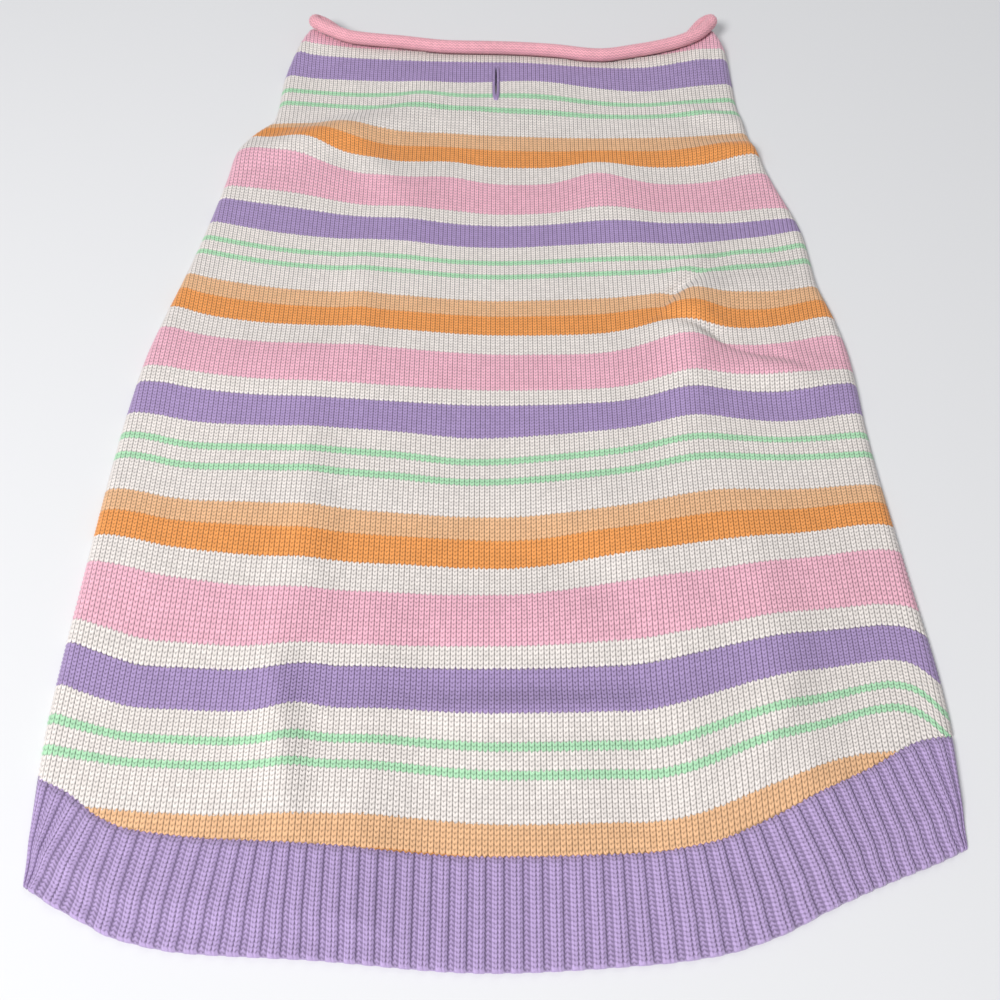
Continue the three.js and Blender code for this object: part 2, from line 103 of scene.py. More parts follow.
OUTLINE = {
    "y": (-262, -245, -212, -187, -107, -37, 15, 43, 72, 103, 152, 176, 190, 205, 220, 240, 266, 289),
    "left": (-201, -203.5, -206, -207, -204.7, -201.6, -196.6, -191.2, -184.3, -177.6, -169.2, -166, -158,
             -145.5, -143.5, -143, -138.4, -130.3),
    "right": (201, 202.5, 205.5, 206, 200.3, 195.2, 193.9, 190, 183.1, 181.2, 167.9, 161.5, 158, 156,
              153.5, 153.1, 152, 145.9),
}
HEM = {
    "x": (-206, -190, -175, -160, -130, -80, -4, 60, 90, 115, 140, 165, 190, 206),
    "seam": (-212, -219, -229, -234.5, -238, -240.5, -245.5, -244, -240, -231, -219, -208, -196, -193.5),
    "edge": (-256, -265, -272, -278.5, -284, -286.5, -291.5, -288.5, -285, -278, -267, -257, -248, -241),
}
# Where the hem's ribs lie, counted from the left, across the seam and across the edge
RIB_SPREAD = {
    "rib": (0, 2.6, 3.6, 4.6, 7.6, 10.6, 14.6, 22.6, 26.6, 30.6, 34.6, 38.6, 41.6, 44.6, 47.6, 49.6, 52),
    "seam": (-207, -185, -176.2, -168, -139, -113.5, -85, -24, 7, 41, 76, 108.7, 134.6, 157.7, 176.2,
             189, 206.5),
    "edge": (-203, -199, -189, -176.4, -146.2, -118.8, -85, -24, 7, 41, 79.5, 119.6, 149.2, 168.6,
             188.9, 199.5, 202.3),
}
RIB_SIDES_Y = -203.0  # where the rib's seam meets the sides
BELLY_SHORT = 28.0  # how far the belly ends short of the back's hem
COLLAR = {
    "x": (-126.2, -112, -98, -66, -33, 0, 33, 66, 91, 113, 132, 141.4),
    "y": (286.8, 278, 272.8, 269.5, 265.5, 264.5, 262, 257.3, 261.5, 266.5, 274.5, 284.8),
    "z": (14.9, 14.2, 13.0, 11.85, 11.25, 11.25, 11.25, 11.25, 11.55, 12.6, 14.2, 14.9),
}
NECK_SHORT = 1.5  # how far the back ends short of the roll's middle line
ROLL_RADIUS = 3.9
ROLL_DRAWN_IN = 3.0  # at the left end
ROLL_WALES = 234
ROLL_COURSES = 13
ROLL_RELIEF = 0.75
ROLL_ENDS = 26.0
TO_FRONT_ROLL = {"ends_out": 6.8, "ends_down": 4.3, "middle_out": 4.0, "middle_down": 7.35}
ARCH = {"x": 13.0, "half_width": 101.0, "foot": -148.0, "top": -62.0}
BELLY_TOP = 259.0  # where its first course lies
BELLY_RIB = 34.0  # how wide the strip round the arch is
LEG_HOLES = {"left": (-78.0, 158.0), "right": (82.0, 156.0)}
LEG_HOLE_HALVES = (36.0, 47.0)
SLOT = {"x": -2.6, "y": 237.5, "half_length": 12.6, "half_width": 0.6}  # between two wales
BINDING = {"y": 235.8, "half_length": 15.7, "half_width": 2.3, "thick": 0.9}

# Where the cloth's courses lie: how far up the garment each is at these places across it
STATION_X = (-180, -120, -60, 0, 60, 120, 180)
STATIONS = {
    -14: (291, 287.5, 285, 283, 278.5, 282, 286),
    0: (263, 259.5, 257, 255, 250.5, 254, 258),
    33: (208, 198, 190.5, 187.5, 185.5, 187, 190),
    70: (137, 124.5, 116, 111.5, 114, 112.5, 118),
    80: (118, 105, 99, 94.8, 97.8, 97, 109),
    103: (74, 63.5, 59, 54.8, 56.5, 57, 62),
    140: (-3, -11.5, -14.3, -16.5, -14.5, -6.8, -4),
    150: (-22, -29.3, -32.5, -36, -31.5, -24.3, -22),
    173: (-69, -75.5, -81, -84, -77.5, -68, -68.5),
    193: (-112, -121.5, -124.6, -125.2, -118, -110.5, -104),
    210: (-158.5, -164, -162, -162.5, -160.5, -150, -142),
    220: (-179, -183.5, -182, -184.7, -183, -169, -160),
    249: (-240, -244.5, -243, -245.5, -243.5, -230, -221),
    262: (-267, -271.5, -270, -272.5, -270.5, -257, -248),
}

# Where the courses wave: place across and course, how far each wave reaches in both, and its rise
WAVES = [
    (-142, -2, 18, 14, 6.0), (150, 2, 35, 8, 3.0), (28, 12, 32, 11, 5.0), (98, 8, 28, 12, -3.6),
    (-20, 19, 60, 9, 3.0), (-52, 21, 24, 8, 3.5), (-152, 33, 22, 9, -5.0), (-138, 40, 26, 4.5, 4.3),
    (-120, 45, 35, 12, 2.8),
    (-128, 53, 30, 12, 10.0), (-32, 53, 20, 12, 5.0), (-158, 51, 14, 10, 6.5), (60, 55, 20, 11, 9.5),
    (160, 50, 28, 13, 9.0), (138, 88, 17, 10, 4.2), (110, 83, 12, 8, -2.4), (-195, 115, 20, 18, 5.5),
    (92, 120, 24, 18, 6.8), (184, 114, 21, 17, 5.5), (115, 128, 25, 8, 1.6), (-95, 155, 40, 42, 0.9),
    (100, 154, 24, 14, 2.5), (-80, 124, 60, 12, 2.0), (152, 145, 26, 12, -4.0), (-160, 162, 25, 20, -3.0),
    (-20, 156, 25, 12, -1.8), (188, 180, 28, 16, 4.0), (-194, 172, 14, 50, 2.0), (196, 140, 14, 34, 1.2),
    (140, 205, 30, 20, 1.0), (176, 236, 26, 13, 5.5), (152, 245, 30, 8, 6.0), (206, 228, 10, 20, -12.0),
    (-200, 216, 22, 24, 5.0), (-206, 214, 9, 24, 4.0), (-172, 212, 20, 20, -2.2), (-91, 219, 11, 14, 3.0),
    (-110, 238, 75, 9, 3.6), (85, 236, 25, 12, -2.7), (104, 251, 26, 6, -4.5), (20, 253, 55, 5, -2.4),
]

# Folds in the solids, and smaller creases that are only here: place, direction in degrees from +X, how
# far each reaches along and across itself, and its rise
FOLDS = [
    (-108, 188, 20, 48, 13, 6.5), (-98, 214, 25, 50, 9, -2.2), (-78, 163, -56, 30, 11, 2.5),
    (138, 172, 6, 34, 11, 3.0), (-57, 120, 88, 50, 20, 3.0), (78, 120, 92, 46, 20, 2.5),
    (108, 42, 84, 62, 16, 8.0), (140, 62, 22, 34, 13, 4.5), (160, 2, -12, 34, 14, 4.0),
    (-128, 8, 2, 80, 24, 3.0), (24, -72, 0, 82, 15, 1.5), (10, -140, 1, 84, 17, 2.4),
    (-106, -165, 88, 72, 13, 2.6), (132, -160, 94, 74, 16, 3.2), (-50, 238, 70, 24, 14, 2.0),
]
CREASES = [
    (100, 60, 41, 28, 4, -5.0), (128, 27, -25, 36, 4.5, -5.0), (168, 43, 5, 22, 4.5, -4.0),
    (135, 205, -20, 25, 7, 2.5), (165, -190, 70, 22, 6, -2.0), (66, 245, 90, 25, 14, -1.5),
    (-95, -90, 95, 75, 13, 2.6), (-97, -200, 99, 40, 9, 3.6), (-79, 60, 92, 45, 11, 2.2),
    (12, -182, 1, 72, 8, 4.2), (12, -200, 1, 75, 18, 3.0), (122, -195, 62, 30, 8, 3.0),
    (-20, 205, 40, 26, 12, 1.6), (150, 175, 0, 26, 7, 2.6), (146, 8, 2, 34, 9, 2.4),
]


def through(at, value):
    """A smooth curve through a table's points, without overshoot."""
    at, value = np.array(at, float), np.array(value, float)
    chord = np.diff(value) / np.diff(at)
    before, after = chord[:-1], chord[1:]
    total = np.where(before + after == 0, 1, before + after)
    inner = np.where(before * after <= 0, 0, 2 * before * after / total)
    slope = np.concatenate([chord[:1], inner, chord[-1:]])

    def curve(p):
        p = np.clip(p, at[0], at[-1])
        i = np.clip(np.searchsorted(at, p) - 1, 0, len(at) - 2)
        span = at[i + 1] - at[i]
        t = (p - at[i]) / span
        bend = value[i] + (value[i + 1] - value[i]) * t * t * (3 - 2 * t)
        return bend + slope[i] * span * t * (1 - t) ** 2 + slope[i + 1] * span * t * t * (t - 1)

    return curve


left_edge = through(OUTLINE["y"], OUTLINE["left"])
right_edge = through(OUTLINE["y"], OUTLINE["right"])
seam_y = through(HEM["x"], HEM["seam"])
hem_y = through(HEM["x"], HEM["edge"])
collar_y = through(COLLAR["x"], COLLAR["y"])
collar_z = through(COLLAR["x"], COLLAR["z"])
station_y = {course: through(STATION_X, row) for course, row in STATIONS.items()}

# From the tables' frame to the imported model's, whose origin is the middle of its box
SHIFT = np.array([
    cad_box[0].x / MM - min(OUTLINE["left"]),
    cad_box[0].y / MM - min(HEM["edge"]),
    0.0,
])


def ease(t):
    """A share from 0 to 1 that starts and ends gently."""
    t = np.clip(t, 0, 1)
    return t * t * (3 - 2 * t)


def mix(a, b, t):
    return a + (b - a) * t


def course_y(x, course):
    """How far up the garment a course lies at x. Both are arrays of one shape."""
    stations = np.array(sorted(STATIONS), float)
    rows = np.array([station_y[int(c)](x) for c in stations])
    span = np.diff(stations).reshape(-1, *([1] * x.ndim))
    chord = np.diff(rows, axis=0) / span
    before, after = chord[:-1], chord[1:]
    slope = np.concatenate([chord[:1], 2 * before * after / (before + after), chord[-1:]])
    i = np.clip(np.searchsorted(stations, course) - 1, 0, len(stations) - 2)
    width = np.diff(stations)[i]
    t = (course - stations[i]) / width

    def pick(table, index):
        return np.take_along_axis(table, index[None], 0)[0]

    low, high = pick(rows, i), pick(rows, i + 1)
    bend = low + (high - low) * t * t * (3 - 2 * t)
    y = bend + pick(slope, i) * width * t * (1 - t) ** 2 + pick(slope, i + 1) * width * t * t * (t - 1)
    for wave_x, wave_course, across, courses, rise in WAVES:
        y += rise * np.exp(-((x - wave_x) / across) ** 2 - ((course - wave_course) / courses) ** 2)
    return y


def past_belly(x, y):
    """How far a point is past the belly's free edge."""
    across = np.abs(x - ARCH["x"])
    half = ARCH["half_width"]
    up = np.maximum(y - ARCH["foot"], 0) / (ARCH["top"] - ARCH["foot"])
    arch = half * (1 - np.hypot(across / half, up))
    return np.maximum(ARCH_EASE * arch, hem_y(x) + BELLY_SHORT - y)


def rises(table, x, y):
    """How high the folds of a table stand together."""
    total = np.zeros_like(x)
    for fold_x, fold_y, angle, long, wide, rise in table:
        c, s = math.cos(math.radians(angle)), math.sin(math.radians(angle))
        u = ((x - fold_x) * c + (y - fold_y) * s) / long
        v = ((y - fold_y) * c - (x - fold_x) * s) / wide
        total += rise * np.exp(-u * u - v * v)
    return total


def cloth_under(x, y):
    """The underside of the back's cloth, before its sides round over."""
    on_belly = OVER_BELLY * (1 - ease((past_belly(x, y) - DRAPE_FROM) / DRAPE))
    fold = rises(FOLDS, x, y) + rises(CREASES, x, y)
    soft = 0.5 * (fold + np.sqrt(fold * fold + 1.0)) - 0.35
    lain = on_belly + np.maximum(soft, 0)
    neck = collar_z(x) - ROLL_RADIUS - SEAM - KNIT
    near_neck = ease(1 - (collar_y(x) - y) / NECK_RAMP)
    return np.maximum(on_belly, mix(lain, neck, near_neck))


def rounded(height, inwards, reach):
    """A height that comes down to the floor in a quarter ellipse at a side edge."""
    return height * np.sqrt(np.clip(1 - (1 - np.clip(inwards / reach, 0, 1)) ** 2, 0, 1))


# A side edge's quarter ellipse, in steps: how far in from the edge, how high, and how far round each is
TURN = np.radians(np.linspace(0, 90, 60))
TURN_IN = EDGE_ROUND * (1 - np.cos(TURN))
TURN_UP = (OVER_BELLY + KNIT) * np.sin(TURN)
TURN_RUN = np.concatenate([[0], np.cumsum(np.hypot(np.diff(TURN_IN), np.diff(TURN_UP)))])
EDGE_SLACK = TURN_RUN[-1] - EDGE_ROUND


def lay(wale, course):
    """Where points of the back's cloth lie in plan, and which edge cuts off each.

    The edges are 1 for the right side, 2 for the left side, 3 for the collar and 4 for the rib.
    """
    along = wale * WALE
    x = along.copy()
    for _ in range(2):
        y = course_y(x, course)
        left, right = left_edge(y), right_edge(y)
        to_edge = np.where(along > 0, right + EDGE_SLACK - along, along - left + EDGE_SLACK)
        inwards = np.interp(to_edge, TURN_RUN, TURN_IN)
        on_turn = np.where(along > 0, right - inwards, left + inwards)
        x = np.where(to_edge < TURN_RUN[-1], on_turn, along)
    cut = np.where(to_edge <= 0, np.where(along > 0, 1, 2), 0)
    top = collar_y(x) - NECK_SHORT
    bottom = seam_y(x) - SEAM - SEAM_TEETH * (0.5 - 0.5 * np.cos(2 * math.pi * wale))
    cut = np.where((cut == 0) & (y >= top), 3, np.where((cut == 0) & (y <= bottom), 4, cut))
    return x, np.clip(y, bottom, top), cut


def crown(x, y):
    """The height of the back's outer face over the floor."""
    inwards = np.minimum(x - left_edge(y), right_edge(y) - x)
    return rounded(cloth_under(x, y) + KNIT, inwards, EDGE_ROUND)


def normals_of(points):
    """Unit normals of a grid of points whose rows run down the garment."""
    down = np.gradient(points, axis=0)
    across = np.gradient(points, axis=1)
    n = np.cross(down, across)
    return n / np.maximum(np.linalg.norm(n, axis=2, keepdims=True), 1e-9)


def grid_faces(rows, columns, closed_rows=False, closed_columns=False):
    """The four-sided faces of a grid of points, which may join up with itself either way."""
    r = np.arange(rows if closed_rows else rows - 1)
    c = np.arange(columns if closed_columns else columns - 1)
    r, c = np.meshgrid(r, c, indexing="ij")
    below, beside = (r + 1) % rows, (c + 1) % columns
    corners = [r * columns + c, below * columns + c, below * columns + beside, r * columns + beside]
    return np.stack([k.ravel() for k in corners], 1)


def weld(points, faces, extra):
    """Joins points in the same place, and drops what then has no area. Gives lists of corners."""
    keys, first, same = np.unique(np.round(points * 1000).astype(np.int64), axis=0,
                                  return_index=True, return_inverse=True)
    same = same.reshape(-1)
    faces = same[faces]
    whole = np.ones(len(faces), bool)
    sides = faces.shape[1]
    for i in range(sides):
        for j in range(i + 1, sides):
            whole &= faces[:, i] != faces[:, j]
    kept = faces[whole].tolist()
    for face in faces[~whole]:
        ring = [int(face[i]) for i in range(sides) if face[i] != face[i - 1]]
        if len(ring) == 3 and len(set(ring)) == 3:
            kept.append(ring)
    return points[first], kept, extra[first]


def only_used(faces, count):
    """Which of a number of points the faces use, and the faces renumbered to match."""
    used = np.unique(np.concatenate([np.array(face) for face in faces]))
    renumber = np.full(count, -1)
    renumber[used] = np.arange(len(used))
    return used, [[int(renumber[v]) for v in face] for face in faces]


def rims_of(faces):
    """The boundaries of a patch, along its own faces' edges. The outer one is first, then any hole's."""
    used = {side for face in faces for side in zip(face, face[1:] + face[:1])}
    following = {a: b for a, b in sorted(used) if (b, a) not in used}
    loops = []
    while following:
        start = min(following)
        loop = [start]
        while following[loop[-1]] != start:
            loop.append(following.pop(loop[-1]))
        following.pop(loop[-1])
        loops.append(loop)
    return sorted(loops, key=len, reverse=True)


def strip_between(points, outside, inside):
    """Triangles between two loops that run the same way."""
    nearest = np.argmin(np.linalg.norm(points[outside] - points[inside[0]], axis=1))
    outside = outside[nearest:] + outside[:nearest]
    outside.append(outside[0])
    inside.append(inside[0])
    strip = []
    i = j = 0
    while i < len(outside) - 1 or j < len(inside) - 1:
        here, there = outside[i], inside[j]
        step_out = step_in = math.inf
        if i < len(outside) - 1:
            step_out = np.linalg.norm(points[outside[i + 1]] - points[there])
        if j < len(inside) - 1:
            step_in = np.linalg.norm(points[inside[j + 1]] - points[here])
        if step_out <= step_in:
            strip.append([outside[i + 1], here, there])
            i += 1
        else:
            strip.append([there, inside[j + 1], here])
            j += 1
    return strip


def close_with(points, faces, stitch, lining, lining_faces, lining_course):
    """Closes a patch with a plainer one behind it, and strips of triangles between their rims."""
    lining_faces = [[v + len(points) for v in face] for face in lining_faces]
    together = np.concatenate([points, lining])
    closed = faces + lining_faces
    for outside, inside in zip(rims_of(faces), rims_of(lining_faces)):
        closed += strip_between(together, outside, inside[::-1])
    same = np.ones(len(lining))
    lining_stitch = np.stack([lining[:, 0] / WALE, lining_course * same, LINING_DEPTH * same], 1)
    return together, closed, np.concatenate([stitch, lining_stitch])


def make(name, points, faces, stitch, material, slot_name, *nodes):
    """A piece of the sweater. stitch is each point's wale, course and depth in the knit; the depth also
    sets the painted shade in the stitches' holes.
    """
    mesh = bpy.data.meshes.new(name)
    mesh.from_pydata(((points + SHIFT) * MM).tolist(), [], faces)
    attribute = mesh.attributes.new("stitch", "FLOAT_VECTOR", "POINT")
    attribute.data.foreach_set("vector", stitch.astype(np.float32).ravel())
    mesh.validate()
    mesh.polygons.foreach_set("use_smooth", np.ones(len(mesh.polygons), bool))
    mesh.materials.append(material)
    piece = bpy.data.objects.new(name, mesh)
    bpy.context.scene.collection.objects.link(piece)
    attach(piece, "root")
    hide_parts(*nodes)
    return piece


# Materials

def linear(rgb):
    """A screen colour of 0 to 255 as the linear one that a shader takes."""
    share = np.array(rgb) / 255
    return tuple(np.where(share <= 0.04045, share / 12.92, ((share + 0.055) / 1.055) ** 2.4))


class Shader:
    """A few words for making a material's nodes."""

    def __init__(self, name):
        self.material = bpy.data.materials.new(name)
        self.material.use_nodes = True
        self.tree = self.material.node_tree
        self.out = self.tree.nodes["Principled BSDF"]
        stitch = self.node("ShaderNodeAttribute", attribute_name="stitch")
        self.stitch = stitch.outputs["Vector"]
        parts = self.node("ShaderNodeSeparateXYZ", self.stitch)
        self.wale, self.course, self.depth = parts.outputs

    def node(self, kind, *inputs, **settings):
        made = self.tree.nodes.new(kind)
        for key, value in settings.items():
            setattr(made, key, value)
        for i, value in enumerate(inputs):
            self.put(made.inputs[i], value)
        return made

    def put(self, socket, value):
        if isinstance(value, bpy.types.NodeSocket):
            self.tree.links.new(value, socket)
        else:
            socket.default_value = value

    def math(self, operation, *inputs):
        return self.node("ShaderNodeMath", *inputs, operation=operation).outputs[0]

    def between(self, value, low, high, to_low, to_high, kind="LINEAR"):
        made = self.node("ShaderNodeMapRange", value, low, high, to_low, to_high, interpolation_type=kind)
        return made.outputs[0]

    def noise(self, scale, detail, vector):
        made = self.node("ShaderNodeTexNoise")
        self.put(made.inputs["Vector"], vector)
        made.inputs["Scale"].default_value = scale
        made.inputs["Detail"].default_value = detail
        return made.outputs["Fac"]

    def place(self):
        return self.node("ShaderNodeTexCoord").outputs["Object"]

    def times(self, color, share):
        """A colour, darker or lighter by a share."""
        grey = self.node("ShaderNodeCombineColor", share, share, share).outputs[0]
        made = self.node("ShaderNodeMix", data_type="RGBA", blend_type="MULTIPLY", clamp_result=False)
        made.inputs["Factor"].default_value = 1.0
        self.put(made.inputs[6], color)
        self.put(made.inputs[7], grey)
        return made.outputs[2]

    def stripes(self):
        """The colour of each course, in the order of the repeat."""
        frayed = self.between(self.noise(1300.0, 2.0, self.place()), 0.3, 0.7, -0.3, 0.3)
        course = self.math("ADD", self.course, frayed)
        wrapped = self.math("MODULO", self.math("ADD", course, 2.0 * BLOCK), float(BLOCK))
        ramp = self.node("ShaderNodeValToRGB", self.math("DIVIDE", wrapped, float(BLOCK)))
        ramp.color_ramp.interpolation = "CONSTANT"
        start = 0
        for i, (yarn, courses) in enumerate(STRIPES):
            stops = ramp.color_ramp.elements
            stop = stops[i] if i < 2 else stops.new(start / BLOCK)
            stop.position = start / BLOCK
            stop.color = (*linear(YARNS[yarn]), 1)
            start += courses
        return ramp.outputs[0]

    def finish_yarn(self, color, hole_shade=0.2):
        """Soft spun yarn: painted shade in the stitches' holes, uneven, fuzzy, and twisted along each
        leg.
        """
        place = self.place()
        # Painted shade: the yarn's colour darkens in the stitches' holes, down to the given share at
        # depth 0 and full from a depth of 0.68.
        depth = self.between(self.depth, 0.0, 0.68, hole_shade, 1.0, "SMOOTHSTEP")
        cell = self.node("ShaderNodeVectorMath", self.stitch, operation="FLOOR")
        uneven = self.node("ShaderNodeTexWhiteNoise", cell.outputs[0], noise_dimensions="3D")
        uneven = uneven.outputs["Value"]
        shade = self.math("MULTIPLY", depth, self.between(uneven, 0.0, 1.0, 0.93, 1.04))
        cloudy = self.between(self.noise(28.0, 2.0, place), 0.3, 0.7, 0.98, 1.02)
        shade = self.math("MULTIPLY", shade, cloudy)
        hairs = self.noise(1900.0, 3.0, place)
        shade = self.math("MULTIPLY", shade, self.between(hairs, 0.3, 0.75, 0.93, 1.06))
        self.put(self.out.inputs["Base Color"], self.times(color, shade))
        ply = self.math("ADD", self.math("MULTIPLY", self.course, 2.0),
                        self.math("PINGPONG", self.math("MULTIPLY", self.wale, 2.0), 1.0))
        twist = self.math("SINE", self.math("MULTIPLY", ply, 2 * math.pi))
        height = self.math("ADD", self.math("MULTIPLY", twist, 0.12), hairs)
        bump = self.node("ShaderNodeBump")
        bump.inputs["Strength"].default_value = 0.45
        bump.inputs["Distance"].default_value = 0.35 * MM
        self.put(bump.inputs["Height"], height)
        self.put(self.out.inputs["Normal"], bump.outputs[0])
        self.out.inputs["Roughness"].default_value = 0.92
        self.out.inputs["Specular IOR Level"].default_value = 0.2
        self.out.inputs["Sheen Weight"].default_value = 0.25
        self.out.inputs["Sheen Roughness"].default_value = 0.45
        return self.material


def plain_yarn(shader, yarn):
    """One yarn's colour all over."""
    color = shader.node("ShaderNodeRGB")
    color.outputs[0].default_value = (*linear(YARNS[yarn]), 1)
    return color.outputs[0]


striped = Shader("striped stockinette")
STRIPED = striped.finish_yarn(striped.stripes())
ribbed = Shader("purple rib")
RIBBED = ribbed.finish_yarn(plain_yarn(ribbed, "rib_purple"))
rolled = Shader("pink reverse stockinette")
ROLLED = rolled.finish_yarn(plain_yarn(rolled, "collar_pink"), hole_shade=0.6)


# The back

# One stitch: how far each of its four columns stands out, at the top of the stitch and halfway down, and
# how far from the middle of the wale its two legs are there
# The depths also set how much painted shade lies in each stitch's holes.
DEPTHS = np.array([[0.0, 0.48, 0.2, 0.48], [0.22, 1.0, 0.56, 1.0]])
LEG_AT = (0.31, 0.20)
CHEVRON = 0.5  # of a course, from the edges of a wale down to its middle


def stitch_grid(wales, first, last):
    """For a grid of stitches: wale, slanted course, course, depth, and the wale at even steps."""
    columns = np.arange(4 * wales + 1)
    rows = np.arange(2 * (last - first) + 1)
    row, column = np.meshgrid(rows, columns, indexing="ij")
    half = row % 2
    quarter = column % 4
    leg = np.where(half == 0, LEG_AT[0], LEG_AT[1])
    share = np.where(quarter % 2 == 0, quarter / 4, np.where(quarter == 1, 0.5 - leg, 0.5 + leg))
    wale = column // 4 + share - wales / 2
    course = first + row / 2
    slant = CHEVRON * (0.5 - np.abs(2 * (quarter / 4) - 1))
    return wale, course + slant, course, DEPTHS[half, quarter], column // 4 + quarter / 4 - wales / 2


def in_slot(x, y, faces):
    """Which faces lie in the leash slot, which is as wide as half a wale."""
    middle_x, middle_y = x.ravel()[faces].mean(1), y.ravel()[faces].mean(1)
    beside = np.abs(middle_x - SLOT["x"]) < WALE / 4
    return beside & (np.abs(middle_y - SLOT["y"]) < SLOT["half_length"])


def back_block(name, first, last):
    """One length of the back, stitch by stitch, with its purl side behind it."""
    wale, slanted, course, depth, even_wale = stitch_grid(BACK_WALES, first, last)
    x, y, cut = lay(wale, slanted)
    even_x, even_y, _ = lay(even_wale, slanted)
    x, y = np.where(cut > 0, even_x, x), np.where(cut > 0, even_y, y)
    depth = np.where(cut > 0, CUT_DEPTH, depth)
    smooth = np.stack([even_x, even_y, crown(even_x, even_y)], 2)
    points = np.stack([x, y, crown(x, y)], 2)
    lift = np.where((cut == 1) | (cut == 2), 0.0, (depth - MEAN_DEPTH) * RELIEF)
    lift = lift - NECK_SINK["deep"] * ease(1 - (collar_y(x) - y) / NECK_SINK["long"])
    points = points + normals_of(smooth) * lift[..., None]
    points[..., 2] = np.maximum(points[..., 2], 0.0)
    faces = grid_faces(*wale.shape)
    cut_off = (cut.ravel()[faces] > 0).all(1)
    faces = faces[~cut_off & ~in_slot(even_wale * WALE, y, faces)]
    stitch = np.stack([wale, course, depth], 2).reshape(-1, 3)
    outer, faces, stitch = weld(points.reshape(-1, 3), faces, stitch)
    used, faces = only_used(faces, len(outer))
    points, faces, stitch = close_with(
        outer[used], faces, stitch[used], *back_lining(first, last), (first + last) / 2)
    return make(f"back_knit_{name}", points, faces, stitch, STRIPED, "striped_knit", "back_panel")


def back_lining(first, last):
    """The purl side of a length of the back, which hardly shows, in large facets."""
    low, high = left_edge(SLOT["y"]) + KNIT, right_edge(SLOT["y"]) - KNIT
    slot_sides = [2 * (SLOT["x"] + out - low) / (high - low) - 1 for out in (-WALE / 4, WALE / 4)]
    shares = np.sort(np.append(np.linspace(-1, 1, 73), slot_sides))
    courses = np.linspace(first, last, 2 + (last - first) // 3)
    course, share = np.meshgrid(courses, shares, indexing="ij")
    first_guess = 150.0  # of the half width, from which the loop finds each course's own
    x = share * first_guess
    for _ in range(3):
        y = course_y(x, course)
        left, right = left_edge(y) + KNIT, right_edge(y) - KNIT
        x = mix(left, right, (share + 1) / 2)
    top, bottom = collar_y(x) - NECK_SHORT, seam_y(x) - SEAM
    cut = (y >= top) | (y <= bottom)
    y = np.clip(y, bottom, top)
    inwards = np.minimum(x - left, right - x)
    z = rounded(cloth_under(x, y), inwards, EDGE_ROUND - KNIT)
    points = np.stack([x, y, z], 2).reshape(-1, 3)
    faces = grid_faces(*x.shape)
    faces = faces[~cut.ravel()[faces].all(1) & ~in_slot(x, y, faces)][:, ::-1]
    points, faces, _ = weld(points, faces, points)
    used, faces = only_used(faces, len(points))
    return points[used], faces


# The hem's rib: two knit wales stand up, and two purl ones sink between them. Each column of points is
# this far along a rib, with its rise, how far its stitches stand out, and their slant in courses

# How far the stitches stand out also sets how much painted shade lies in their holes and the rib's
# valleys.
RIB_COLUMNS = {
    "along": (0.00, 0.09, 0.18, 0.27, 0.34, 0.42, 0.51, 0.60, 0.69, 0.78, 0.86, 0.93),
    "rise": (0.00, 0.10, 0.00, 0.20, 0.80, 1.00, 1.00, 0.95, 1.00, 1.00, 0.80, 0.20),
    "stitch_top": (0.48, 0.70, 0.48, 0.26, 0.45, 0.20, 0.50, 0.05, 0.50, 0.20, 0.45, 0.26),
    "stitch_middle": (0.20, 0.32, 0.20, 0.26, 0.90, 0.50, 1.00, 0.28, 1.00, 0.50, 0.90, 0.26),
    "slant": (0.10, -0.30, 0.10, 0.00, -0.25, 0.00, 0.25, -0.25, 0.25, 0.00, -0.25, 0.00),
}


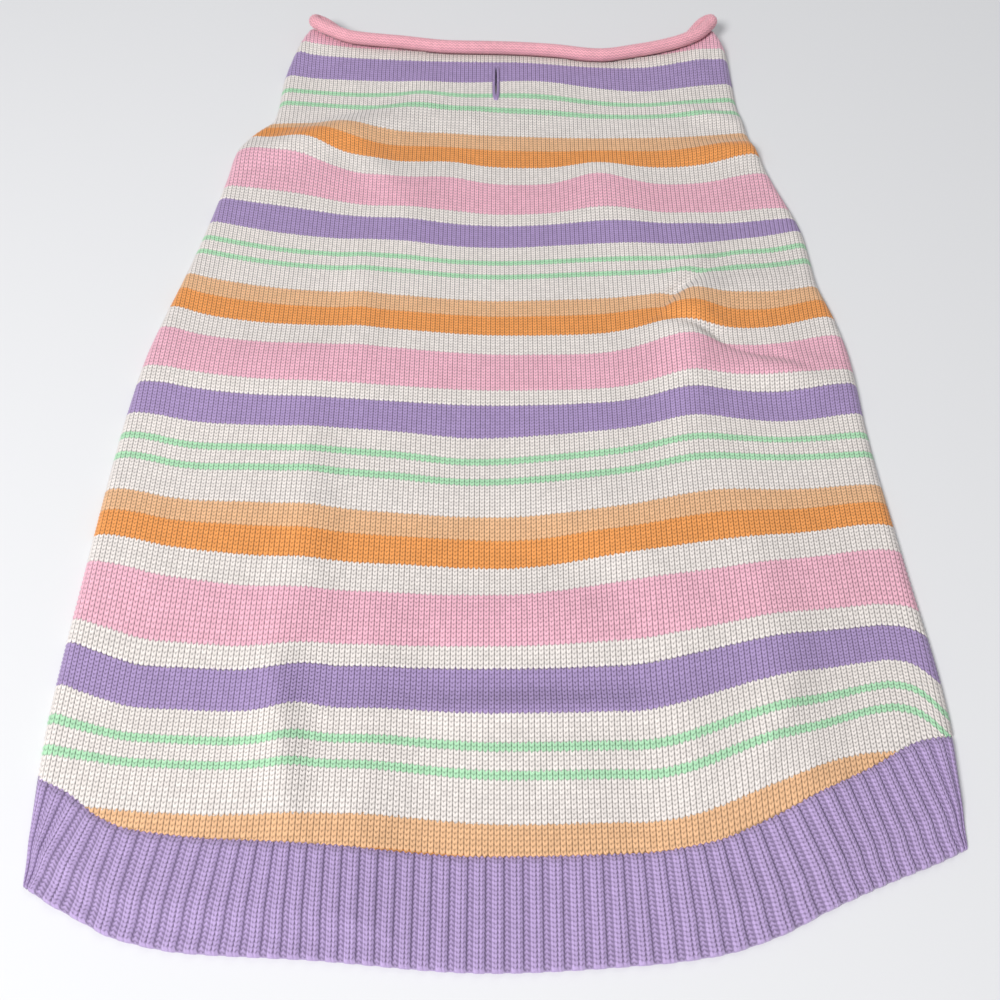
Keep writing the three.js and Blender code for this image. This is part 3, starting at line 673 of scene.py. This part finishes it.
def hem_rib():
    """The back's rib, from its seam down to the edge, with its other side behind it."""
    columns = len(RIB_COLUMNS["along"])
    at = (np.arange(HEM_RIBS)[:, None] + np.array(RIB_COLUMNS["along"])).ravel()
    at = np.append(at, HEM_RIBS)
    column = np.append(np.tile(np.arange(columns), HEM_RIBS), 0)
    kind = {name: np.array(values)[column][None] for name, values in RIB_COLUMNS.items()}
    last = 2 * HEM_COURSES
    row = np.arange(last + 1)[:, None]
    depth = np.where(row % 2 == 0, kind["stitch_top"], kind["stitch_middle"])
    slant = np.where((row > 0) & (row < last), kind["slant"], 0)
    down = np.clip((row / 2 + slant) / HEM_COURSES, 0, 1)
    seam_x = through(RIB_SPREAD["rib"], RIB_SPREAD["seam"])(at)
    seam_x = np.clip(seam_x, left_edge(RIB_SIDES_Y), right_edge(RIB_SIDES_Y))
    edge_x = through(RIB_SPREAD["rib"], RIB_SPREAD["edge"])(at)
    x = mix(seam_x, edge_x, down)
    y = mix(seam_y(seam_x) + SEAM, hem_y(edge_x), down)
    y = y - 0.3 * kind["rise"] * (row == last)
    inwards = np.minimum(x - x[:, :1], x[:, -1:] - x)
    rise = mix(-0.9, kind["rise"] * RIB_RISE, ease(row / 5))
    end = np.interp(row, [0, last - 2, last - 1, last], [1, 1, 0.88, 0.5])
    relief = (depth - MEAN_DEPTH) * RELIEF * 0.9
    top = (cloth_under(x, y) + KNIT + rise + relief) * end
    z = rounded(top, inwards, EDGE_ROUND)
    outer = np.stack([x, y, np.maximum(z, 0)], 2).reshape(-1, 3)
    shade = np.where(row == last, 0.6, depth)
    stitch = np.stack([np.broadcast_to(at * 4, x.shape), np.broadcast_to(row / 2, x.shape), shade], 2)
    outer_faces = grid_faces(*x.shape).tolist()
    inner_columns = np.arange(0, len(at), 6)
    inner_rows = np.arange(0, last + 1, 10)
    ix, iy = x[np.ix_(inner_rows, inner_columns)], y[np.ix_(inner_rows, inner_columns)]
    low, high = ix[:, :1], ix[:, -1:]
    inwards = np.minimum(ix - low, high - ix)
    ix = mix(low + KNIT, high - KNIT, (ix - low) / (high - low))
    iy = np.where(inner_rows[:, None] == last, iy + 0.4, iy)
    iz = rounded(cloth_under(ix, iy), inwards, EDGE_ROUND - KNIT)
    inner = np.stack([ix, iy, iz], 2).reshape(-1, 3)
    inner_faces = grid_faces(*ix.shape)[:, ::-1].tolist()
    points, faces, stitch = close_with(
        outer, outer_faces, stitch.reshape(-1, 3), inner, inner_faces, lining_course=5.0)
    return make("back_hem_rib_knit", points, faces, stitch, RIBBED, "purple_knit", "back_hem_rib")


# The collar

def collar_loop(count):
    """Points along the middle of the collar's roll, once round, at even steps."""
    start, end = COLLAR["x"][0] + ROLL_DRAWN_IN, COLLAR["x"][-1]
    x = np.linspace(start, end, 400)
    back = np.stack([x, collar_y(x), collar_z(x)], 1)
    along = np.gradient(back[:, :2], axis=0)
    along /= np.linalg.norm(along, axis=1, keepdims=True)
    to_end = ease(np.minimum(x - start, end - x) / ROLL_ENDS)
    out = mix(TO_FRONT_ROLL["ends_out"], TO_FRONT_ROLL["middle_out"], to_end)
    down = mix(TO_FRONT_ROLL["ends_down"], TO_FRONT_ROLL["middle_down"], to_end)
    front = back + np.stack([-along[:, 1] * out, along[:, 0] * out, -down], 1)

    def turn(first, second, before):
        """Points of a half circle at an end of the roll, from the back's half to the front's."""
        centre = (first + second) / 2
        arm = first - centre
        onwards = (first - before) / np.linalg.norm(first - before) * np.linalg.norm(arm)
        a = np.radians(np.linspace(0, 180, 26))[1:-1, None]
        return centre + arm * np.cos(a) + onwards * np.sin(a)

    front = front[::-1]
    loop = np.concatenate([
        back, turn(back[-1], front[0], back[-4]), front, turn(front[-1], back[0], front[-4]), back[:1],
    ])
    for _ in range(3):
        step = np.linalg.norm(np.diff(loop, axis=0), axis=1)
        run = np.concatenate([[0], np.cumsum(step)])
        even = np.linspace(0, run[-1], count + 1)[:-1]
        loop = np.stack([np.interp(even, run, loop[:, k]) for k in range(3)], 1)
        loop = sum(np.roll(loop, k, 0) for k in (-3, -2, -1, 0, 1, 2, 3)) / 7
        loop = np.concatenate([loop, loop[:1]])
    return loop[:-1]


def neck_roll():
    """The collar's roll, all round: a tube of purl stitches whose courses run along it."""
    columns = 4 * ROLL_WALES
    path = collar_loop(columns)
    along = np.roll(path, -1, 0) - np.roll(path, 1, 0)
    along /= np.linalg.norm(along, axis=1, keepdims=True)
    side = np.cross(along, [0.0, 0.0, 1.0])
    side /= np.linalg.norm(side, axis=1, keepdims=True)
    over = np.cross(side, along)
    rows = 2 * ROLL_COURSES
    row, column = np.meshgrid(np.arange(rows), np.arange(columns), indexing="ij")
    share = (column % 4) / 4
    # Each depth sets the roll's radius and also the painted shade between its purl bumps.
    depth = np.where(row % 2 == 0, 0.8 + 0.2 * np.cos(4 * math.pi * share), 0.15)
    arc = 0.3 * np.cos(2 * math.pi * share)
    angle = 2 * math.pi * (row / 2 + arc) / ROLL_COURSES
    radius = ROLL_RADIUS + (depth - 0.6) * ROLL_RELIEF
    points = path[column] + radius[..., None] * (
        side[column] * np.sin(angle)[..., None] + over[column] * np.cos(angle)[..., None])
    points[..., 2] = np.maximum(points[..., 2], 0)
    stitch = np.stack([column / 4, row / 2, depth], 2).reshape(-1, 3)
    faces = grid_faces(rows, columns, True, True).tolist()
    return make("neck_roll_knit", points.reshape(-1, 3), faces, stitch, ROLLED, "pink_knit", "neck_roll")


def slot_line(out, turn):
    """A loop round the slot, in plan: pointed at out 0, the slot's edge, and squarer further out."""
    squareness = mix(1.0, 0.45, np.clip(out, 0, 1))
    c, sn = np.cos(turn), np.sin(turn)
    half_x = mix(SLOT["half_width"], BINDING["half_width"], out)
    half_y = mix(SLOT["half_length"], BINDING["half_length"], out)
    x = SLOT["x"] + half_x * np.sign(c) * np.abs(c) ** squareness
    y = mix(SLOT["y"], BINDING["y"], out) + half_y * np.sign(sn) * np.abs(sn) ** squareness
    return x, y


def slot_binding():
    """A band of rib yarn round the slot, standing a little over the knit."""
    steps = 96
    profile = [(0.0, -0.6), (0.0, 0.5), (0.25, 0.95), (0.6, 1.0), (0.88, 0.7), (1.0, 0.0), (1.0, -0.6)]
    turn, part = np.meshgrid(np.arange(steps), np.arange(len(profile)), indexing="ij")
    out = np.array([p[0] for p in profile])[part]
    up = np.array([p[1] for p in profile])[part]
    x, y = slot_line(out, 2 * math.pi * (turn + 0.5) / steps)
    ply = np.where(turn % 2 == 0, 0.0, 0.22) * (up > 0)
    z = crown(x, y) + up * BINDING["thick"] + 0.15 - ply
    points = np.stack([x, y, z], 2).reshape(-1, 3)
    in_purple = np.full(out.shape, 5.0)
    stitch = np.stack([out * 2, in_purple, 0.55 - ply], 2).reshape(-1, 3)
    faces = grid_faces(steps, len(profile), True, True)[:, ::-1].tolist()
    return make("leash_slot_band", points, faces, stitch, STRIPED, "purple_knit", "leash_slot_binding")


# The belly, which lies under the back, with its rib and the two cuffs

def outline_of(node):
    """The outline of a flat CAD node in plan, as edges from point to point."""
    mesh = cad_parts[node].data
    points = np.array([v.co for v in mesh.vertices]) / MM - SHIFT
    keys = [tuple(np.round(p, 3)) for p in points]
    used = set()
    for face in mesh.polygons:
        if all(abs(points[v][2]) < 1e-2 for v in face.vertices):
            corners = [keys[v][:2] for v in face.vertices]
            used.update(zip(corners, corners[1:] + corners[:1]))
    return [(a, b) for a, b in sorted(used) if (b, a) not in used]


def split_edges(edges, step):
    """The same outline in steps no longer than a length."""
    fine = []
    for a, b in edges:
        count = max(1, math.ceil(math.dist(a, b) / step))
        line = [tuple(np.round(mix(np.array(a), np.array(b), i / count), 4)) for i in range(count + 1)]
        fine.extend(zip(line[:-1], line[1:]))
    return fine


def inside(edges, x, y):
    """Which points are inside an outline, by how many of its edges lie to the right of each."""
    hits = np.zeros(x.shape, int)
    for (ax, ay), (bx, by) in edges:
        if ay == by:
            continue
        span = (ay > y) != (by > y)
        hits += span & (x < ax + (y - ay) * (bx - ax) / (by - ay))
    return hits % 2 == 1


def near_edge(edges, x, y, reach):
    """Which points are within reach of the middle of any edge."""
    close = np.zeros(x.shape, bool)
    for (ax, ay), (bx, by) in edges:
        mx, my = (ax + bx) / 2, (ay + by) / 2
        close |= (x - mx) ** 2 + (y - my) ** 2 < reach ** 2
    return close


def flat_piece(name, node, step_x, step_y, knit, material, slot_name):
    """A closed flat piece of cloth in a node's plan. knit gives wale, course and depth at each point."""
    edges = outline_of(node)
    fine = split_edges(edges, WALE)
    corners = sorted({p for edge in fine for p in edge})
    number = {p: i for i, p in enumerate(corners)}
    cloud = np.array(corners)
    gx = np.arange(math.floor(cloud[:, 0].min() / step_x), math.ceil(cloud[:, 0].max() / step_x)) * step_x
    gy = np.arange(math.floor(cloud[:, 1].min() / step_y), math.ceil(cloud[:, 1].max() / step_y)) * step_y
    x, y = [g.ravel() for g in np.meshgrid(gx, gy)]
    kept = inside(edges, x, y)
    x, y = x[kept], y[kept]
    kept = ~near_edge(fine, x, y, 0.5 * min(step_x, step_y) + 0.6)
    x, y = x[kept], y[kept]
    plan = corners + list(zip(x.tolist(), y.tolist()))
    rim_edges = [(number[a], number[b]) for a, b in fine]
    made = delaunay_2d_cdt([Vector(p) for p in plan], rim_edges, [], 0, 1e-4)
    flat = np.array([tuple(p) for p in made[0]])
    triangles = np.array(made[2])
    middle = flat[triangles].mean(1)
    triangles = triangles[inside(edges, middle[:, 0], middle[:, 1])]
    a, b, c = (flat[triangles[:, i]] for i in range(3))
    turned = (b - a)[:, 0] * (c - a)[:, 1] - (b - a)[:, 1] * (c - a)[:, 0] < 0
    triangles[turned] = triangles[turned][:, ::-1]
    used, triangles = only_used(triangles, len(flat))
    flat, triangles = flat[used], np.array(triangles)
    count = len(flat)
    rim = directed_rim(triangles)
    on_rim = np.zeros(count, bool)
    on_rim[[i for i, _ in rim]] = True
    wale, course, depth = knit(flat[:, 0], flat[:, 1])
    soft_rim = 0.7  # how far both faces draw in at the rim
    low = np.where(on_rim, soft_rim, (1 - depth) * 0.7)
    high = np.where(on_rim, KNIT - soft_rim, KNIT - (1 - depth) * 0.3)
    points = np.concatenate([np.column_stack([flat, high]), np.column_stack([flat, low])])
    faces = triangles.tolist() + (triangles[:, ::-1] + count).tolist()
    faces += [[j, i, i + count, j + count] for i, j in rim]
    # The depth also sets the painted shade in the stitches' holes, never below a quarter.
    stitch = np.column_stack([wale, course, 0.25 + 0.75 * depth])
    return make(name, points, faces, np.concatenate([stitch, stitch]), material, slot_name, node)


def directed_rim(triangles):
    """The sides that only one triangle has, each in that triangle's direction."""
    sides = np.concatenate([triangles[:, [0, 1]], triangles[:, [1, 2]], triangles[:, [2, 0]]])
    known = {(int(a), int(b)) for a, b in sides}
    return sorted((a, b) for a, b in known if (b, a) not in known)


# The knit of a flat piece: the wale, course and depth at each point of its plan

RIB_PERIOD = 7.4  # two knit wales and two purl ones
RIB_WALE = RIB_PERIOD / 4


def belly_knit(x, y):
    return x / WALE, (BELLY_TOP - y) / COURSE, 0.5 + 0.5 * np.cos(4 * math.pi * x / WALE)


def rib_depth(along):
    """How far a rib stands out: its knit half does, with sloping sides."""
    share = (along / RIB_PERIOD) % 1
    return ease(np.clip(2.2 - np.abs(share - 0.5) * 6, 0, 1))


def arch_rib(x, y):
    """Ribs square to the belly's free edge: round the arch, and upright beside it."""
    across, up = x - ARCH["x"], y - ARCH["foot"]
    half, rise = ARCH["half_width"], ARCH["top"] - ARCH["foot"]
    grown_half, grown_rise = half + BELLY_RIB / 2, rise + BELLY_RIB / 2
    grown = np.hypot(across / grown_half, up / grown_rise)
    angle = np.arctan2(up / grown_rise, across / grown_half)
    along = np.where(up < 0, -up, angle * (grown_half + grown_rise) / 2)
    along = np.where(np.abs(across) > half + BELLY_RIB, x, along)
    return along / RIB_WALE, grown * 40, rib_depth(along)


def cuff_rib(centre_x, centre_y):
    """The knit of a cuff, whose ribs run out from its leg hole all round."""
    ribs = 30

    def knit(x, y):
        angle = np.arctan2((y - centre_y) * LEG_HOLE_HALVES[0] / LEG_HOLE_HALVES[1], x - centre_x)
        along = (angle + math.pi) / (2 * math.pi) * ribs * RIB_PERIOD
        away = np.hypot(x - centre_x, y - centre_y)
        return along / RIB_WALE, away / 2, rib_depth(along)

    return knit


# Build

neck, upper, lower, hem = [back_block(*block) for block in BACK_BLOCKS]
back_rib = hem_rib()
collar = [neck_roll(), slot_binding()]
fine = WALE / 2
belly = flat_piece("belly_knit", "belly_panel", fine, 6.0, belly_knit, STRIPED, "striped_knit")
belly_rib = flat_piece("belly_rib_knit", "belly_hem_rib", fine, fine, arch_rib, RIBBED, "purple_knit")
for side, (x, y) in LEG_HOLES.items():
    node = f"leg_cuff_{side}"
    flat_piece(f"{node}_knit", node, fine, fine, cuff_rib(x, y), RIBBED, "purple_knit")


# Floor, light and camera

def floor():
    mesh = bpy.data.meshes.new("floor")
    far = 4.0
    mesh.from_pydata([(-far, -far, 0), (far, -far, 0), (far, far, 0), (-far, far, 0)], [], [(0, 1, 2, 3)])
    material = bpy.data.materials.new("pale floor")
    material.use_nodes = True
    shader = material.node_tree.nodes["Principled BSDF"]
    shader.inputs["Base Color"].default_value = (0.72, 0.72, 0.73, 1)
    shader.inputs["Roughness"].default_value = 0.9
    mesh.materials.append(material)
    made = bpy.data.objects.new("floor", mesh)
    made.location.z = -0.1 * MM  # just clear of the cloth
    bpy.context.scene.collection.objects.link(made)


def softbox(name, place, size, power):
    """A round soft light that looks at the middle of the sweater."""
    light = bpy.data.lights.new(name, "AREA")
    light.shape = "DISK"
    light.size = size
    light.energy = power
    made = bpy.data.objects.new(name, light)
    made.location = place
    made.rotation_euler = (-Vector(place)).to_track_quat("-Z", "Y").to_euler()
    bpy.context.scene.collection.objects.link(made)


floor()
softbox("key", (-0.8, -0.95, 1.4), 0.6, 31)
softbox("fill", (0.7, 1.0, 1.7), 1.4, 6)
world = bpy.data.worlds.new("studio")
world.use_nodes = True
sky = world.node_tree.nodes["Background"]
sky.inputs["Color"].default_value = (0.95, 0.97, 1.0, 1)
sky.inputs["Strength"].default_value = 0.38
bpy.context.scene.world = world
bpy.context.scene.view_settings.view_transform = "Standard"

EYE = (0.0, -315.7, 452.6)  # the photograph's eye, in the tables' frame
PITCH = 61.6  # degrees below the horizon
camera = bpy.data.cameras.new("camera")
camera.lens = 36
camera.sensor_width = 36
eye = bpy.data.objects.new("camera", camera)
eye.location = (np.array(EYE) + SHIFT) * MM
eye.rotation_euler = (math.radians(90 - PITCH), 0, 0)
bpy.context.scene.collection.objects.link(eye)
bpy.context.scene.camera = eye
